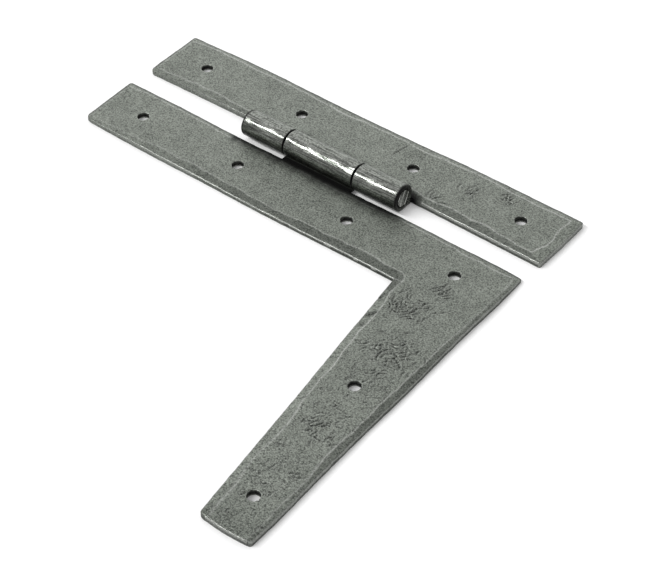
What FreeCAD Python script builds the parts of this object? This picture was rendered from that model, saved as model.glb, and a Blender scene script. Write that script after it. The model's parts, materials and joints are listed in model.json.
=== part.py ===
"""H-L hinge: a straight leaf and an L-shaped leaf of forged plate, rolled round one pin.

Millimetres. The hinge lies open on its back. The origin is the middle of the straight leaf's
back face, +X runs along the pin, +Y points away from the pin across the straight leaf, +Z is up.
"""
import FreeCAD, Part
import math
import os

Vector = FreeCAD.Vector

# Plate stock
PLATE = 3.2
LEAF_WIDTH = 34.0
LEAF_GAP = 13.0
HOLE_DIAMETER = 5.7

# Straight leaf
LEAF_LENGTH = 229.0
LEAF_OUTER_HOLES = 183.5
LEAF_INNER_HOLES = 65.2

# L leaf: the bar beside the straight leaf, and the tapered leg below its right end
BAR_LENGTH = 227.0
BAR_SHIFT = -0.5
BAR_OUTER_HOLES = 180.1
BAR_INNER_HOLES = 63.1
LEG_LENGTH = 149.5
LEG_ROOT_WIDTH = 44.0
LEG_FOOT_WIDTH = 25.2
LEG_LEAN = 3.0
LEG_HOLE_DROPS = (60.8, 130.2)

# Rolled knuckles and pin
PIN_DIAMETER = 9.3
RUNNING_CLEARANCE = 0.05
TONGUE = 1.6
SEAM_GAP = 0.5
BARREL_LENGTH = 89.4
MIDDLE_KNUCKLE = 39.2
KNUCKLE_GAP = 0.6
PIN_EDGE_BREAK = 0.5

# Hammered edges
BEVEL_HEIGHT = 0.5
BEVEL_WIDTH = 3.6
FOOT_BEVEL_WIDTH = 1.2
FACET_PITCH = 10.0
EDGE_RIPPLE = 0.15
BEVEL_RIPPLE = 0.55
FACING_EDGE_HOLLOW = 0.5
SHARP_CORNER = 1.2
ROUND_CORNER = 3.0
BEVEL_CORNER = 0.8

# Places worked out from the sizes above
AXIS_Y = -(LEAF_WIDTH + LEAF_GAP) / 2
TONGUE_LIFT = (PLATE - TONGUE) / 2
PIN_RADIUS = PIN_DIAMETER / 2
RUNNING_BORE = PIN_RADIUS + RUNNING_CLEARANCE
KNUCKLE_RADIUS = RUNNING_BORE + TONGUE
AXIS_Z = TONGUE_LIFT + KNUCKLE_RADIUS
BAR_FAR_Y = AXIS_Y - LEAF_GAP / 2
BAR_NEAR_Y = BAR_FAR_Y - LEAF_WIDTH
BAR_MID_Y = BAR_FAR_Y - LEAF_WIDTH / 2
BAR_LEFT_X = BAR_SHIFT - BAR_LENGTH / 2
BAR_RIGHT_X = BAR_SHIFT + BAR_LENGTH / 2
FOOT_Y = BAR_NEAR_Y - LEG_LENGTH


def unit(start, end):
    """Unit vector from one point to another."""
    return (end - start).normalize()


def left_of(direction):
    """Inward normal of an edge of an outline that runs anticlockwise."""
    return Vector(-direction.y, direction.x, 0)


def ripple(step, phase):
    """Uneven swing between about -1 and 1, as hammer blows leave it along an edge."""
    return 0.6 * math.sin(1.9 * step + phase) + 0.4 * math.sin(3.1 * step + 2 * phase)


def inset_corner(before, here, after, width_before, width_after):
    """Where two edges meet after each has moved inward by its own width."""
    into = unit(before, here)
    out = unit(here, after)
    turn = into.getAngle(out)
    if into.cross(out).z < 0:
        turn = -turn
    slide = (width_before * math.cos(turn) - width_after) / math.sin(turn)
    return here + into * slide + left_of(into) * width_before


def round_off(before, here, after, radius):
    """Start, middle and end of the arc that rounds a corner."""
    into = unit(before, here)
    out = unit(here, after)
    half_turn = into.getAngle(out) / 2
    reach = radius * math.tan(half_turn)
    rise = radius * (1 / math.cos(half_turn) - 1)
    inward = unit(into, out)
    return here - into * reach, here + inward * rise, here + out * reach


def rim(corners, radii, hollows, steps, swing, height):
    """Closed wire of short chords: rounded corners joined by hollow, rippled edges."""
    count = len(corners)
    bends = [round_off(corners[i - 1], corners[i], corners[(i + 1) % count], radii[i]) for i in range(count)]
    points = []
    for i in range(count):
        points.extend(bends[i])
        start = bends[i][2]
        end = bends[(i + 1) % count][0]
        inward = left_of(unit(start, end))
        for step in range(1, steps[i]):
            share = step / steps[i]
            depth = 4 * hollows[i] * share * (1 - share) + swing * ripple(step, i)
            points.append(start + (end - start) * share + inward * depth)
    lift = Vector(0, 0, height)
    return Part.makePolygon([point + lift for point in points + points[:1]])


def forged_plate(corners, radii, bevels, hollows, holes):
    """Plate with square sides, a hammered bevel round its front face, and drilled holes."""
    count = len(corners)
    steps = []
    inner = []
    for i in range(count):
        after = corners[(i + 1) % count]
        steps.append(max(2, round((after - corners[i]).Length / FACET_PITCH)))
        inner.append(inset_corner(corners[i - 1], corners[i], after, bevels[i - 1], bevels[i]))
    back = rim(corners, radii, hollows, steps, EDGE_RIPPLE, 0)
    arris = rim(corners, radii, hollows, steps, EDGE_RIPPLE, PLATE - BEVEL_HEIGHT)
    front = rim(inner, [BEVEL_CORNER] * count, hollows, steps, BEVEL_RIPPLE, PLATE)
    plate = Part.makeLoft([back, arris, front], True, True)
    for x, y in holes:
        plate = plate.cut(Part.makeCylinder(HOLE_DIAMETER / 2, PLATE, Vector(x, y, 0)))
    return plate


def rolled_knuckle(start_x, length, leaf_side, bore):
    """Tongue that leaves the leaf's edge, passes under the pin and curls over it back to the leaf.

    leaf_side is 1 where the leaf lies on the +Y side of the pin and -1 where it lies on the -Y side.
    """
    def at(across, up):
        return Vector(start_x, AXIS_Y + leaf_side * across, up)

    outside = KNUCKLE_RADIUS
    tongue_top = AXIS_Z - bore
    seam = math.asin((AXIS_Z - tongue_top - SEAM_GAP) / outside)
    root = LEAF_GAP / 2 + FACING_EDGE_HOLLOW + EDGE_RIPPLE + BEVEL_WIDTH / 2

    def on_circle(radius, angle):
        return at(radius * math.cos(angle), AXIS_Z + radius * math.sin(angle))

    free_end = -seam
    under = -math.pi / 2
    crown = (free_end + math.pi * 1.5) / 2
    edges = [
        Part.makeLine(at(root, TONGUE_LIFT), on_circle(outside, under)),
        Part.Arc(on_circle(outside, under), on_circle(outside, crown), on_circle(outside, free_end)).toShape(),
        Part.makeLine(on_circle(outside, free_end), on_circle(bore, free_end)),
        Part.Arc(on_circle(bore, free_end), on_circle(bore, crown), on_circle(bore, under)).toShape(),
        Part.makeLine(on_circle(bore, under), at(root, tongue_top)),
        Part.makeLine(at(root, tongue_top), at(root, TONGUE_LIFT)),
    ]
    return Part.Face(Part.Wire(edges)).extrude(Vector(length, 0, 0))


def row_of_holes(middle_x, y, spans):
    """Centres of pairs of holes, each pair set out evenly about one middle."""
    return [(middle_x + side * span / 2, y) for span in spans for side in (-1, 1)]


def straight_leaf():
    """Plain rectangular leaf with the two outer knuckles."""
    half_length = LEAF_LENGTH / 2
    half_width = LEAF_WIDTH / 2
    corners = [
        Vector(-half_length, -half_width, 0),
        Vector(half_length, -half_width, 0),
        Vector(half_length, half_width, 0),
        Vector(-half_length, half_width, 0),
    ]
    radii = [ROUND_CORNER, SHARP_CORNER, SHARP_CORNER, SHARP_CORNER]
    hollows = [FACING_EDGE_HOLLOW, 0, 0, 0]
    holes = row_of_holes(0, 0, (LEAF_OUTER_HOLES, LEAF_INNER_HOLES))
    leaf = forged_plate(corners, radii, [BEVEL_WIDTH] * len(corners), hollows, holes)
    length = (BARREL_LENGTH - MIDDLE_KNUCKLE) / 2 - KNUCKLE_GAP
    for start_x in (-BARREL_LENGTH / 2, BARREL_LENGTH / 2 - length):
        leaf = leaf.fuse(rolled_knuckle(start_x, length, 1, PIN_RADIUS))
    return leaf.removeSplitter()


def leg_outer_x(y):
    """Leg's outer edge, which leans outward from the bar's far corner to the foot."""
    return BAR_RIGHT_X + LEG_LEAN * (BAR_FAR_Y - y) / (BAR_FAR_Y - FOOT_Y)


def leg_width(drop):
    """Leg's width at a distance below the bar."""
    return LEG_ROOT_WIDTH + (LEG_FOOT_WIDTH - LEG_ROOT_WIDTH) * drop / LEG_LENGTH


def l_leaf():
    """Bar with the middle knuckle, and the tapered leg that makes the L."""
    corners = [
        Vector(leg_outer_x(FOOT_Y) - LEG_FOOT_WIDTH, FOOT_Y, 0),
        Vector(leg_outer_x(FOOT_Y), FOOT_Y, 0),
        Vector(BAR_RIGHT_X, BAR_FAR_Y, 0),
        Vector(BAR_LEFT_X, BAR_FAR_Y, 0),
        Vector(BAR_LEFT_X, BAR_NEAR_Y, 0),
        Vector(leg_outer_x(BAR_NEAR_Y) - LEG_ROOT_WIDTH, BAR_NEAR_Y, 0),
    ]
    radii = [ROUND_CORNER, ROUND_CORNER, SHARP_CORNER, SHARP_CORNER, ROUND_CORNER, SHARP_CORNER]
    bevels = [FOOT_BEVEL_WIDTH] + [BEVEL_WIDTH] * (len(corners) - 1)
    hollows = [0, 0, FACING_EDGE_HOLLOW, 0, 0, 0]
    holes = row_of_holes(BAR_SHIFT, BAR_MID_Y, (BAR_OUTER_HOLES, BAR_INNER_HOLES))
    for drop in LEG_HOLE_DROPS:
        y = BAR_NEAR_Y - drop
        holes.append((leg_outer_x(y) - leg_width(drop) / 2, y))
    leaf = forged_plate(corners, radii, bevels, hollows, holes)
    knuckle = rolled_knuckle(-MIDDLE_KNUCKLE / 2, MIDDLE_KNUCKLE, -1, RUNNING_BORE)
    return leaf.fuse(knuckle).removeSplitter()


def hinge_pin():
    """Plain round pin, cut off flush with the barrel, with the rim of each end broken."""
    half_length = BARREL_LENGTH / 2
    shoulder = half_length - PIN_EDGE_BREAK
    end_radius = PIN_RADIUS - PIN_EDGE_BREAK
    profile = [
        Vector(-half_length, 0, 0),
        Vector(half_length, 0, 0),
        Vector(half_length, end_radius, 0),
        Vector(shoulder, PIN_RADIUS, 0),
        Vector(-shoulder, PIN_RADIUS, 0),
        Vector(-half_length, end_radius, 0),
    ]
    outline = Part.makePolygon(profile + profile[:1])
    pin = Part.Face(outline).revolve(Vector(0, 0, 0), Vector(1, 0, 0), 360)
    pin.translate(Vector(0, AXIS_Y, AXIS_Z))
    return pin


os.makedirs("parts", exist_ok=True)
for name, shape in (("straight_leaf", straight_leaf()), ("l_leaf", l_leaf()), ("hinge_pin", hinge_pin())):
    shape.exportStep("parts/" + name + ".step")
    print(name, shape.isValid(), len(shape.Solids), round(shape.Volume, 1), shape.BoundBox)
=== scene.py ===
"""Looks of the H-L hinge: forged plates with hammered edges, rolled knuckles and a rough-cut pin.

Shapes are worked out in millimetres, in the part's own frame, and become metres when a mesh is made.
"""

import json
import math
from collections import namedtuple

import bpy
import numpy as np
from mathutils import Matrix, Vector
from mathutils.geometry import delaunay_2d_cdt
from mathutils.kdtree import KDTree


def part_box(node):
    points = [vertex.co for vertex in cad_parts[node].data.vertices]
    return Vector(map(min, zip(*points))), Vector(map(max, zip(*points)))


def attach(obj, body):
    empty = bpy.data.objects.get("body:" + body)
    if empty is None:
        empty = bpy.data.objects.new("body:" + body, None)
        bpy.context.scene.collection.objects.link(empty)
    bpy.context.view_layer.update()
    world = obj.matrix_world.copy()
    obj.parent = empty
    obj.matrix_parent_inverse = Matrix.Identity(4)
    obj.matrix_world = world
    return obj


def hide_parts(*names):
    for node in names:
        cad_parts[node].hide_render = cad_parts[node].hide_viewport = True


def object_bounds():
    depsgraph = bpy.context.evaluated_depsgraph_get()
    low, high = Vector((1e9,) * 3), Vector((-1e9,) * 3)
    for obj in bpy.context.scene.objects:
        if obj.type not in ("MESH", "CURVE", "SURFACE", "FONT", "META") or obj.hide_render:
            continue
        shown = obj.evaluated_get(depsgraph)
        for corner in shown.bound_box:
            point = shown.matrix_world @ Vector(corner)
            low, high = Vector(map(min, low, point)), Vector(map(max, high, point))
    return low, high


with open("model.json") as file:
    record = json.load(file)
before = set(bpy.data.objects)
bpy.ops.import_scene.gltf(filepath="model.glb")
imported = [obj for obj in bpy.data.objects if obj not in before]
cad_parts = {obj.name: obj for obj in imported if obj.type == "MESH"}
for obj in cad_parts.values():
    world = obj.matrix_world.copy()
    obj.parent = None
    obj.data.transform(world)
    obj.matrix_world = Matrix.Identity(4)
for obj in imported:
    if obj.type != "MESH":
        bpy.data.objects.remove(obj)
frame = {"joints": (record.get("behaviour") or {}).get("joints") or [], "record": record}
CAD_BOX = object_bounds()

# Sizes shared with the solids
MM = 0.001
PLATE = 3.2
TONGUE = 1.6
SEAM_GAP = 0.5
RUNNING_CLEARANCE = 0.05
MIDDLE_KNUCKLE = 39.2
KNUCKLE_GAP = 0.6
LEG_HOLES = ((96.37, -124.8), (101.87, -194.2))
MOUNTS = {mount["name"]: mount for mount in frame["record"]["mounts"]}
HOLE_RADIUS = MOUNTS["leg_screws"]["dims"]["hole_r_mm"]
HINGE = frame["joints"][0]
AXIS_Y = HINGE["pos_m"][1] / MM
AXIS_Z = HINGE["pos_m"][2] / MM
PIN_LOW = np.array(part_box("hinge_pin")[0]) / MM
PIN_HIGH = np.array(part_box("hinge_pin")[1]) / MM
PIN_RADIUS = (PIN_HIGH[2] - PIN_LOW[2]) / 2
RUNNING_BORE = PIN_RADIUS + RUNNING_CLEARANCE
KNUCKLE_RADIUS = RUNNING_BORE + TONGUE
BARREL_END = PIN_HIGH[0]
HALF_MIDDLE = MIDDLE_KNUCKLE / 2
OUTER_START = HALF_MIDDLE + KNUCKLE_GAP

# Outlines: corner places and corner radii, anticlockwise from above
STRAIGHT_CORNERS = ((-113.9, -17.2), (114.0, -18.1), (114.0, 16.2), (-113.9, 16.1))
STRAIGHT_RADII = (3.2, 1.0, 1.0, 1.4)
L_CORNERS = ((90.9, -213.0), (115.8, -212.6), (112.7, -29.8), (-113.6, -30.4), (-113.3, -63.0), (69.9, -63.7))
L_RADII = (1.6, 1.3, 0.8, 1.4, 3.6, 0.9)
CORNER_STEPS = 4

# Corners that were hammered thin: place, radius and depth
STRAIGHT_THIN = ((*STRAIGHT_CORNERS[0], 30.0, 0.9),)
L_THIN = ((*L_CORNERS[4], 30.0, 0.9), (*L_CORNERS[2], 20.0, 1.0))

# How each side leaves its straight line: outward millimetres at shares of its length
STRAIGHT_BOWS = (
    ((0, 0), (0.06, -0.3), (0.16, -0.7), (0.27, -1.0), (0.5, -1.1), (0.73, -0.8), (0.85, -0.45), (1, 0)),
    ((0, 0), (0.5, 0.25), (1, 0)),
    ((0, 0), (0.1, 0.4), (0.24, 0.8), (0.45, 0), (0.56, -0.1), (0.66, 0.3), (0.78, 0.85), (1, 0)),
    ((0, 0), (0.4, -0.1), (0.7, 0.1), (1, 0)),
)
L_BOWS = (
    ((0, 0), (0.12, 0.28), (0.4, 0.7), (0.6, 0.75), (0.8, 0.45), (1, 0)),
    ((0, 0), (0.08, 0.3), (0.2, -0.1), (0.4, -0.3), (0.5, 0), (0.78, -0.2), (0.9, 0.3), (1, 0)),
    ((0, 0), (0.03, 0.3), (0.09, -0.15), (0.26, -0.1), (0.5, -0.5), (0.72, -0.7), (0.9, -0.12), (1, 0)),
    ((0, 0), (0.5, -0.1), (1, 0)),
    ((0, 0), (0.11, 0.53), (0.29, 0.87), (0.38, 0.7), (0.6, 0.93), (0.74, 0.56), (0.9, 0.06), (1, 0)),
    ((0, 0), (0.3, 0.08), (0.6, -0.08), (1, 0)),
)

# Fine waves along each side: length over two pi, and height. They fade towards the corners
EDGE_WAVES = ((1.7, 0.10), (0.9, 0.07), (0.45, 0.04))
EDGE_WAVE_SHARE = 0.35
EDGE_WAVE_FADE = 6.0

# Hammer facets of each side: reach inward, drop at the edge, spacing along the edge, painted highlight on the
# ridge where they meet the face, painted highlight on the edge itself (where it is low, painted shade),
# painted shade on the facets, darkening of the wall below the edge (where it is weaker, the wall gets a
# painted sheen), and how strong the facets are at shares of the side's length
Facets = namedtuple("Facets", "reach drop spacing ridge_shine edge_shine scale wall strength")
STRAIGHT_FACETS = (
    Facets(4.6, 0.40, 13.0, 0.70, 0.85, 0.30, 1.0, ((0, 0.6), (0.2, 0.75), (0.4, 0.9), (0.7, 1), (1, 1.1))),
    Facets(6.0, 0.50, 12.0, 0.80, 0.60, 0.00, 0.6, ((0, 1.2), (0.25, 1), (1, 0.9))),
    Facets(3.4, 0.55, 15.0, 0.80, 0.20, 0.00, 1.0, ((0, 1), (1, 0.8))),
    Facets(2.6, 0.50, 11.0, 0.30, 0.10, 0.00, 1.0, ((0, 0.8), (1, 0.8))),
)
L_FACETS = (
    Facets(0.8, 0.12, 8.0, 0.00, 0.80, 0.00, 0.8, ((0, 1), (1, 1))),
    Facets(2.9, 0.85, 17.0, 0.60, 0.70, 0.30, 1.0,
           ((0, 0.5), (0.2, 0.85), (0.4, 1.25), (0.6, 1.1), (0.8, 0.6), (1, 0.45))),
    Facets(3.2, 0.55, 14.0, 0.60, 0.20, 0.00, 1.0, ((0, 1), (1, 0.8))),
    Facets(2.6, 0.50, 11.0, 0.30, 0.10, 0.00, 1.0, ((0, 0.8), (1, 0.8))),
    Facets(4.9, 1.00, 15.0, 0.50, 1.00, 0.38, 1.2, ((0, 0.38), (0.2, 0.52), (0.5, 0.95), (1, 1.05))),
    Facets(5.0, 0.90, 19.0, 0.85, 0.30, 0.00, 1.0,
           ((0, 0.35), (0.08, 0.7), (0.2, 1), (0.45, 0.95), (0.65, 0.65), (1, 0.5))),
)
FIRST_FACET = (-0.5, 0.2)
FACET_CUSP = 0.14
FACET_SPREAD = 0.24
RIDGE_SOFTNESS = 0.02

# How round the arrises are, and how strong their painted highlight is, rising along the length
ROUNDING_AND_HIGHLIGHT_X = (-110.0, 10.0)
ROUNDING_AND_HIGHLIGHT_SHARE = (0.38, 1.0)

# Scuffed patches: middle, half sizes, number of strokes, and depth of the strokes
L_SCUFFS = (
    (85, -77, 12, 8, 56, 1.0),
    (94.4, -104, 13, 10, 62, 1.0),
    (90.5, -60.2, 4, 3, 20, 0.7),
    (98.4, -152.7, 11, 7, 26, 0.9),
    (95, -130, 16, 50, 110, 0.5),
    (100, -185, 12, 22, 60, 0.55),
)
STRAIGHT_SCUFFS = ((62, 0.7, 4, 2.5, 14, 0.8), (78.2, 7.2, 4, 2, 12, 0.8), (54, -12.5, 6, 1.5, 8, 0.9))
STROKE_SCATTER = 0.5
STROKE_ANGLE = 61.0
STROKE_SPREAD = 32.0
STROKE_LENGTH = (1.6, 6.0)
STROKE_DEPTH = (0.15, 0.36)
STROKE_WIDTH = 0.52
STROKE_BEND = 0.25
STROKE_END = 0.12
STROKE_MARGIN = 2.0
LIP_HEIGHT = 0.45
LIP_PLACE = 1.6
LIP_WIDTH = 0.6

# One long scratch: its two ends, bend and depth
STRAIGHT_SCRATCH = (19.2, 1.6, 21.1, 11.4)
SCRATCH_BEND = 0.02
SCRATCH_DEPTH = 0.30

# Hammer marks and pits of the faces: area for each one, its radius and its depth
DENTS = (45.0, (3, 8), (-0.02, 0.03))
FACE_PITS = (45.0, (0.5, 1.1), (0.02, 0.08))

# Grain of the forged face: height of its roughness on the bars and at the foot of the leg
GRAIN_HEIGHT = (0.012, 0.019)
GRAIN_FROM_Y = -64.0
GRAIN_TO_Y = -190.0

# Arrises, walls and holes of the plates. The walls bulge outward at shares of their height
ARRIS_RADIUS = (0.12, 0.30)
ARRIS_INSETS = (0, 0.04, 0.12, 0.30, 0.65)
ARRIS_BLUR = 3
WORN_STEP = 8
DULL_ARRIS = 0.42
DULL_SHINE = 0.25
WALL_BULGES = ((0.7, 0.05), (0.4, 0.08), (0.12, 0.03))
BACK_EDGE = 0.12
BACK_SHARES = (0, 0.3)
HOLE_INSETS = (0, 0.06, 0.2, 0.55)
HOLE_SHARES = (0.66, 0.33, 0)
HOLE_RIM = 0.2
HOLE_BURR = 0.20

# Fineness of the meshes
FACE_PITCH = 0.60
BACK_PITCH = 3.0
RIM_PITCH = 0.6
RIDGE_STEP = 0.4
STROKE_STEP = 0.3
STROKE_ROWS = (-1.5, 0, 1.5)
HOLE_POINTS = 40
ROW_RATIO = 0.87
GRID_JITTER = 0.18
MERGE_GAP = 1e-6

# Rolled knuckles. Tilts are degrees round the barrel, from its top to the near side, and a groove's width is
# in radians. A wave has a height, a length over two pi and a number round the barrel
KNUCKLE_ROOT = 8.9
KNUCKLE_SWELL = 0.25
KNUCKLE_STEP = 0.4
KNUCKLE_EDGE = 0.5
END_STEPS = (0, 0.05, 0.16, 0.32, 0.5)
TONGUE_STEPS = 14
BORE_EDGE_SHARE = 0.3
KNUCKLE_GRAIN = 0.003
KNUCKLE_WAVES = ((0.06, 5.1, 2), (0.07, 2.3, 5))
KNUCKLE_GROOVES = 12
GROOVE_TILTS = (-35, 95)
GROOVE_WIDTH = (0.03, 0.06)
GROOVE_DEPTH = (0.02, 0.05)
GROOVE_FADE = 1.5
PIT_TILTS = (-45, 75)
PIT_RADIUS = (0.4, 1.0)
PIT_DEPTH = (0.02, 0.07)
LEFT_PITS = 40
RIGHT_PITS = 34
MIDDLE_PITS = 110

# Deep pits of the middle knuckle: place, tilt, radius and depth. Its flattened spot: from, to, tilt and depth
DEEP_PITS = ((-11, -12, 1.6, 0.12), (-9, -8, 1.1, 0.12), (18.9, -18, 1.5, 0.35))
MIDDLE_FLAT = (10.5, 19.6, 38.0, 0.32)
LEAST_LEAN = 0.5

# Pin: shoulder and rim of each end, and the cropped face between them
PIN_POINTS = 72
PIN_SHOULDER = 1.3
PIN_RIM_DEPTH = 0.35
PIN_RIM_RADIUS = 4.2
PIN_RIM_SHIFT = (0.34, -0.24)
PIN_FACE_PITCH = 0.25
PIN_FACE_MARGIN = 0.2
PIN_LEAST_DEPTH = 0.02
CROP_ANGLE = 62.0
CROP_WAVES = ((2.0, 0.15), (4.1, 0.10), (7.3, 0.06))

# Numbers that start each piece's unevenness
STRAIGHT_SEED = 11
L_SEED = 12
LEFT_SEED = 21
RIGHT_SEED = 22
MIDDLE_SEED = 23
PIN_SEED = 31

# Finish and painted light of the plates: which ways their surfaces face, how far they bend, what is left on
# them, and where the painted highlights and shade fall
FRONT_FACING = (0.5, 5 / 6)
UPRIGHT_FACING = (0.4, 0)
WEAR_CURVATURE = (0.07, 0.50)
GRIME_CURVATURE = 0.7
LEAST_SQUARE = 1e-4
SHARP_ANGLE = 50.0
EDGE_FROM = 0.08
FACET_SHADE_DEPTH = 0.08
RIDGE_WIDTH = 0.30
# Painted sheen on some walls, painted highlight along the edges, painted shade on dull edges and along the
# outer line, and darkening of the walls towards the right
WALL_SHEEN = 0.5
FACE_WEAR = 0.35
EDGE_HIGHLIGHT_BAND = 0.28
DULL_EDGE_SHADE = 0.9
OUTER_SHADE_LINE = 0.9
OUTER_SHADE_WIDTH = 0.9
SIDE_DARKENING = (0.22, 0.72)
SIDE_DARKENING_X = (-80.0, 60.0)

# Finish of the barrel, with dark joints and painted shade at its ends and underside, the painted sheen of its
# top at tilts, and the painted shade beside it
BARREL_REACH = (KNUCKLE_RADIUS + 0.5, KNUCKLE_RADIUS + 0.2)
END_FACING = (0.3, 0.8)
END_GRIME_AND_SHADE = (0.60, 1.0)
END_SHADE_TILT = 45.0
END_BAND = 1.7
JOINT_BAND = 0.5
BAND_CORE = 1 / 3
POLISH_TILT = 42.0
POLISH_SPAN = 42.0
UNDERSIDE_SHADE_TILTS = (62.0, 84.0)
UNDERSIDE_SHADE = 0.35
TOP_SHEEN = ((-30, 0.10), (-10, 0.18), (4, 0.50), (24, 0.55), (34, 0))
SHADE_FROM = 6.5
SHADE_MIDDLE = 5.4
SHADE_OUTER = 4.9
SHADE_CHANGE = 3.0
SHADE_POWER = 3
SHADE_WAVES = ((1.9, 0.10), (0.83, 0.08), (4.7, 0.08))

# Finish of the pin's ends, with painted shade round the rim of each face
PIN_WEAR_CURVATURE = 0.25
PIN_GRIME_CURVATURE = 0.35
PIN_SHADE_RIM = 0.1

# Colours of the steel, also used for painted highlights and painted shade, and the painted shade that darkens
# the very foot of the leg
STEEL_DARK = (0.052, 0.057, 0.050, 1)
STEEL_PLAIN = (0.303, 0.326, 0.289, 1)
STEEL_BRIGHT = (0.55, 0.56, 0.535, 1)
STEEL_POLISHED = (0.267, 0.271, 0.258, 1)
STEEL_GRIME_AND_SHADE = (0.007, 0.007, 0.007, 1)
FOOT_SHADE = (-190.0, -212.0, 0.0, 0.20)

# Patterns in the steel: scale for each millimetre, detail, roughness and distortion
GRAIN_NOISE = (1.5, 2.0, 0.6)
SPECK_NOISE = (1.0, 2.0, 0.6)
FLECK_NOISE = (1.1, 2.0, 0.5)
WRINKLE_NOISE = (0.55, 3.0, 0.6, 1.4)
CLOUD_NOISE = (0.16, 4.0, 0.6)
DRIFT_NOISE = (0.045, 3.0, 0.5)
STREAK_NOISE = (1.7, 3.0, 0.6)
STREAK_STRETCH = (0.05, 1.0, 1.0)

# What the patterns and the finish do: the range that is read, and what its two ends become
CLOUD_TONE = (0.30, 0.70, 0.0, 0.25)
GRAIN_TONE = (0.31, 0.61, 0.0, 0.75)
LEG_TONE = 0.09
SPECK_PITS = (0.56, 0.66)
LEG_PITS = (0.0, 1.0, 0.6, 0.9)
STREAK_LINES = (0.40, 0.56)
FLECK_SPOTS = (0.51, 0.57)
POLISH_FLECKS = (0.0, 1.0, 0.7, 0.35)
BARREL_SHARE = 0.65
POLISH_SHARE = 0.70
GRAIN_RUB = (0.3, 0.6, 0.6, 1.0)
UNWORN_RUB = (0.0, 1.0, 1.0, 0.3)
RUB_AND_HIGHLIGHT_SHARE = 0.85
CLOUD_ROUGHNESS = (0.25, 0.75, 0.28, 0.36)
DRIFT_ROUGHNESS = (0.3, 0.7, -0.03, 0.03)
POLISH_SMOOTHNESS = (0.40, 0.60, 0.15, 0.09)
GRIME_AND_SHADE_ROUGHNESS = 0.25
GRIME_AND_SHADE_METALLIC = (0.4, 1.0, 1.0, 0.1)
SPECULAR = 0.05
PIT_BUMP = 0.35
WRINKLE_BUMP = (0.0, 1.0, 0.5, 1.9)
POLISH_BUMP = (0.0, 1.0, 1.0, 0.12)
WEAR_BUMP = (0.0, 1.0, 1.0, 0.15)
CLOUD_BUMP = (0.0, 1.0, 0.8, 0.2)
STREAK_BUMP = 0.2
LEAF_BUMP = 0.20
PIN_BUMP = 0.08

# Table top, and the room's light by direction, from the wall across the window to the window
FLOOR_WHITE = 0.95
FLOOR_LIFT = 0.07
FLOOR_HALF = 40.0
FLOOR_DROP = 0.0001
WINDOW_TOWARDS = (-0.8, 0.6, 0.0)
SKY = (
    (-1.0, 0.90), (-0.80, 0.80), (-0.55, 0.48), (0.10, 0.54), (0.40, 0.64), (0.52, 0.80),
    (0.60, 1.10), (0.80, 1.00), (1.0, 1.45),
)
SKY_STRENGTH = 1.12

# Soft box: where it stands, its length and width as angles, and its level
KEY_TOWARDS = Vector((-0.459, -0.526, 0.717))
KEY_DISTANCE = 20.0
KEY_SPREAD = (40.0, 5.5)
KEY_LEVEL = 0.58

# Camera
EYE = Vector((0.42663, -0.54672, 0.55447))
LOOK = Vector((-0.45947, 0.56822, -0.68266))
ROLL = -0.671
LENS = 103.45
SENSOR_WIDTH = 36.0
CLIP_START = 0.05


def ramp(value, low, high):
    """Share of the way from low to high, kept between 0 and 1."""
    return np.clip((value - low) / (high - low), 0, 1)


def between(ends, share):
    """Value at a share of the way between two ends."""
    return ends[0] + (ends[1] - ends[0]) * share


def bell(gap):
    """Fall from 1 at no distance towards 0."""
    return np.exp(-gap ** 2)


def curve_through(knots, place):
    """Smooth curve through a few (place, value) knots."""
    spots, values = np.array(knots, float).T
    slopes = np.gradient(values, spots)
    i = np.clip(np.searchsorted(spots, place) - 1, 0, len(spots) - 2)
    step = spots[i + 1] - spots[i]
    t = np.clip((place - spots[i]) / step, 0, 1)
    ease = t * t * (3 - 2 * t)
    leave = t * (1 - t) ** 2 * step * slopes[i]
    arrive = t * t * (t - 1) * step * slopes[i + 1]
    return values[i] * (1 - ease) + values[i + 1] * ease + leave + arrive


def turned(vector, angle):
    """Plan vector turned anticlockwise."""
    c = math.cos(angle)
    s = math.sin(angle)
    return np.array((c * vector[0] - s * vector[1], s * vector[0] + c * vector[1]))


def left_normals(ahead):
    """Unit vectors to the left of plan directions."""
    ahead = ahead / np.linalg.norm(ahead, axis=1)[:, None]
    return np.stack([-ahead[:, 1], ahead[:, 0]], 1)


def circle_points(count):
    """Points round a circle of radius 1."""
    angle = np.arange(count) * 2 * math.pi / count
    return np.stack([np.cos(angle), np.sin(angle)], 1)


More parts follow.
